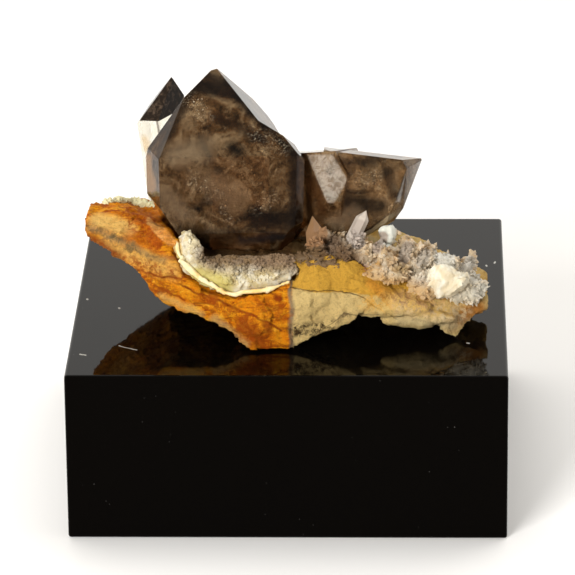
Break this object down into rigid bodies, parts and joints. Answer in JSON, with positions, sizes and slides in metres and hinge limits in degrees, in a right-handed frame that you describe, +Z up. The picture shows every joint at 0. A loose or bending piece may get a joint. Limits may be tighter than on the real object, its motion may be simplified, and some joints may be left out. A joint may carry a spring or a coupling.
{
  "type": "smoky quartz specimen",
  "caption": "Smoky quartz crystals on a rough iron-stained rock plate with pale crystal crusts, resting on a square black display block.",
  "frame": {"origin": "centre of the display block's bottom face", "axes": "+Z up, -Y towards the viewer of the front, +X to the right; the block's sides run along X and Y"},
  "size_m": [0.05, 0.05, 0.049],
  "materials": {
    "display_block": "polished black",
    "matrix": "rough, iron stained",
    "main_crystal": "smoky brown, see-through",
    "left_crystal": "smoky tip, clear below",
    "right_crystals": "smoky brown, partly frosted",
    "quartz_crust": "crystalline",
    "quartz_druse": "crystalline"
  },
  "bodies": {
    "root": {"display_block": "display_block", "matrix": "matrix", "main_crystal": "main_crystal", "left_crystal": "left_crystal", "right_crystals": "right_crystals", "quartz_crust": "quartz_crust", "quartz_druse": "quartz_druse"}
  },
  "joints": []
}
